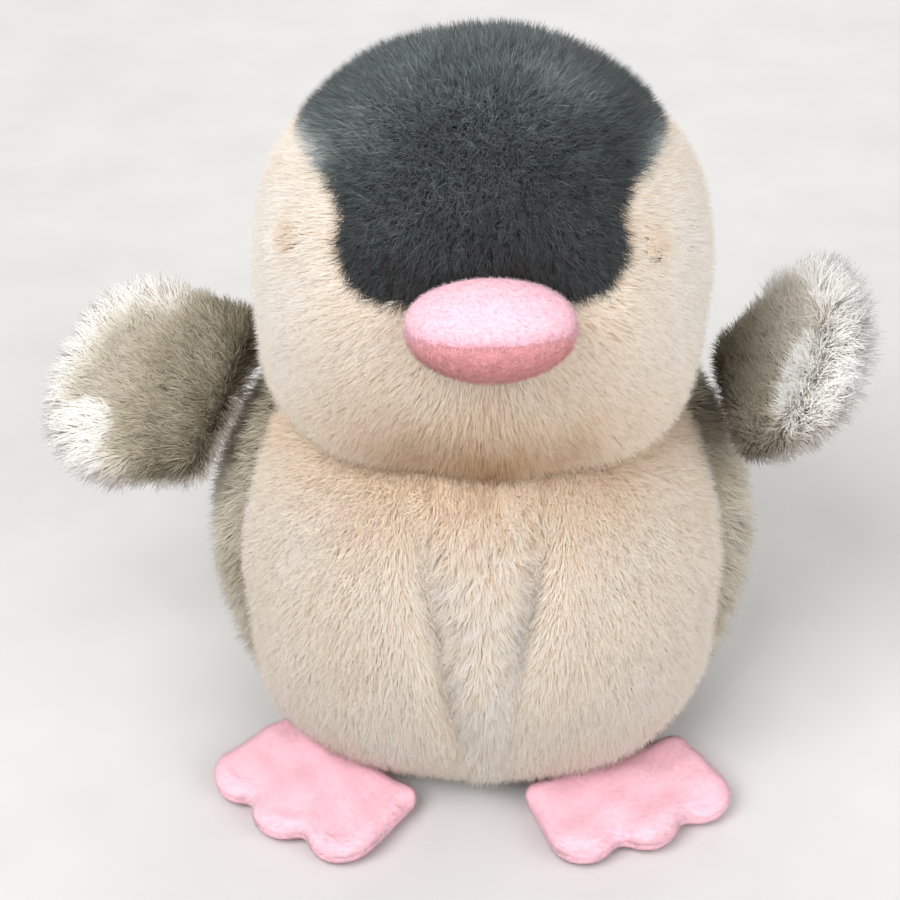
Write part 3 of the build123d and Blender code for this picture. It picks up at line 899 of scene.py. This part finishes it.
def dress_inside():
    """What the skins hide, and the eyes, keep their solids and get their own materials."""
    for node, solid in frame["nodes"].items():
        for ending, material in (("stuffing", FIBRE_FILL), ("pellet_bag", BAG_CLOTH),
                                 ("_washer", WASHER_WHITE),
                                 ("_eye", EYE_BLACK)):
            if node.endswith(ending):
                solid.data.materials.clear()
                solid.data.materials.append(material)


directions, ball_faces = ico_directions(6)
build_head(directions, ball_faces)
build_body(directions, ball_faces)
build_fill("body_stuffing", BODY, body_surface)
# painted light: the left wing's higher base tone (0.20 against 0.07) makes up for the head's shade over that
# wing
build_wing("left", 310, 0.20, (-22, 19), 8.5, (-6, 32), 1.5)
build_wing("right", 320, 0.07, (15, 20), 6.0, (-9, 22), 6.0)
build_tail()
build_foot("left", 330, 0.0)
build_foot("right", 340, 2.2)
build_beak()
dress_inside()

# ------------------------------------------------------------------ stage, light, camera
BACKDROP = (0.84, 0.83, 0.81, 1)


def stage_material():
    """A pale matt floor that runs out into the backdrop far from the toy."""
    material, nodes, links, shader = node_tree("floor")
    where = nodes.new("ShaderNodeTexCoord").outputs["Object"]
    grain = nodes.new("ShaderNodeTexNoise")
    grain.inputs["Scale"].default_value = 30.0
    links.new(where, grain.inputs["Vector"])
    links.new(ramp(nodes, links, grain.outputs["Fac"], [(0.3, (202, 201, 200)), (0.7, (208, 207, 206))]),
              shader.inputs["Base Color"])
    shader.inputs["Roughness"].default_value = 0.9
    far = nodes.new("ShaderNodeVectorMath")
    far.operation = "LENGTH"
    links.new(where, far.inputs[0])
    fade = nodes.new("ShaderNodeMapRange")
    fade.interpolation_type = "SMOOTHSTEP"
    fade.inputs["From Min"].default_value = 0.3
    fade.inputs["From Max"].default_value = 1.1
    links.new(far.outputs["Value"], fade.inputs["Value"])
    glow = nodes.new("ShaderNodeEmission")
    glow.inputs["Color"].default_value = BACKDROP
    blend = nodes.new("ShaderNodeMixShader")
    links.new(fade.outputs["Result"], blend.inputs["Fac"])
    links.new(shader.outputs["BSDF"], blend.inputs[1])
    links.new(glow.outputs["Emission"], blend.inputs[2])
    links.new(blend.outputs["Shader"], nodes["Material Output"].inputs["Surface"])
    return material


floor_mesh = bpy.data.meshes.new("floor")
floor_mesh.from_pydata([(-3, -3, 0), (3, -3, 0), (3, 3, 0), (-3, 3, 0)], [], [(0, 1, 2, 3)])
floor_mesh.materials.append(stage_material())
floor = bpy.data.objects.new("floor", floor_mesh)
bpy.context.scene.collection.objects.link(floor)


def aim(thing, target):
    thing.rotation_euler = (Vector(target) - thing.location).to_track_quat("-Z", "Y").to_euler()


def lamp(name, place, size, power):
    light = bpy.data.lights.new(name, "AREA")
    light.size = size
    light.energy = power
    holder = bpy.data.objects.new(name, light)
    holder.location = place
    bpy.context.scene.collection.objects.link(holder)
    aim(holder, (0, 0, 0.07))


lamp("key", (-0.5, -0.6, 0.9), 0.7, 12.0)
lamp("fill", (0.7, -0.7, 0.5), 0.8, 6.0)
lamp("back", (0.1, 0.8, 0.6), 0.7, 3.5)

world = bpy.data.worlds.new("studio")
bpy.context.scene.world = world
world.use_nodes = True
sky_nodes, sky_links = world.node_tree.nodes, world.node_tree.links
sky_nodes["Background"].inputs["Color"].default_value = (1.0, 0.975, 0.95, 1)
sky_nodes["Background"].inputs["Strength"].default_value = 0.55
backdrop = sky_nodes.new("ShaderNodeBackground")
backdrop.inputs["Color"].default_value = BACKDROP
backdrop.inputs["Strength"].default_value = 1.0
seen = sky_nodes.new("ShaderNodeMixShader")
sky_links.new(sky_nodes.new("ShaderNodeLightPath").outputs["Is Camera Ray"], seen.inputs["Fac"])
sky_links.new(sky_nodes["Background"].outputs["Background"], seen.inputs[1])
sky_links.new(backdrop.outputs["Background"], seen.inputs[2])
sky_links.new(seen.outputs["Shader"], sky_nodes["World Output"].inputs["Surface"])

camera_data = bpy.data.cameras.new("camera")
camera = bpy.data.objects.new("camera", camera_data)
camera.location = (0, -0.3233, 0.2771)
camera_data.lens = 75.6
camera_data.sensor_width = 36.0
camera_data.clip_start = 0.01
camera_data.shift_x = -0.0355
bpy.context.scene.collection.objects.link(camera)
aim(camera, (0, 0, 0.059))
bpy.context.scene.camera = camera
bpy.context.scene.view_settings.view_transform = "Standard"
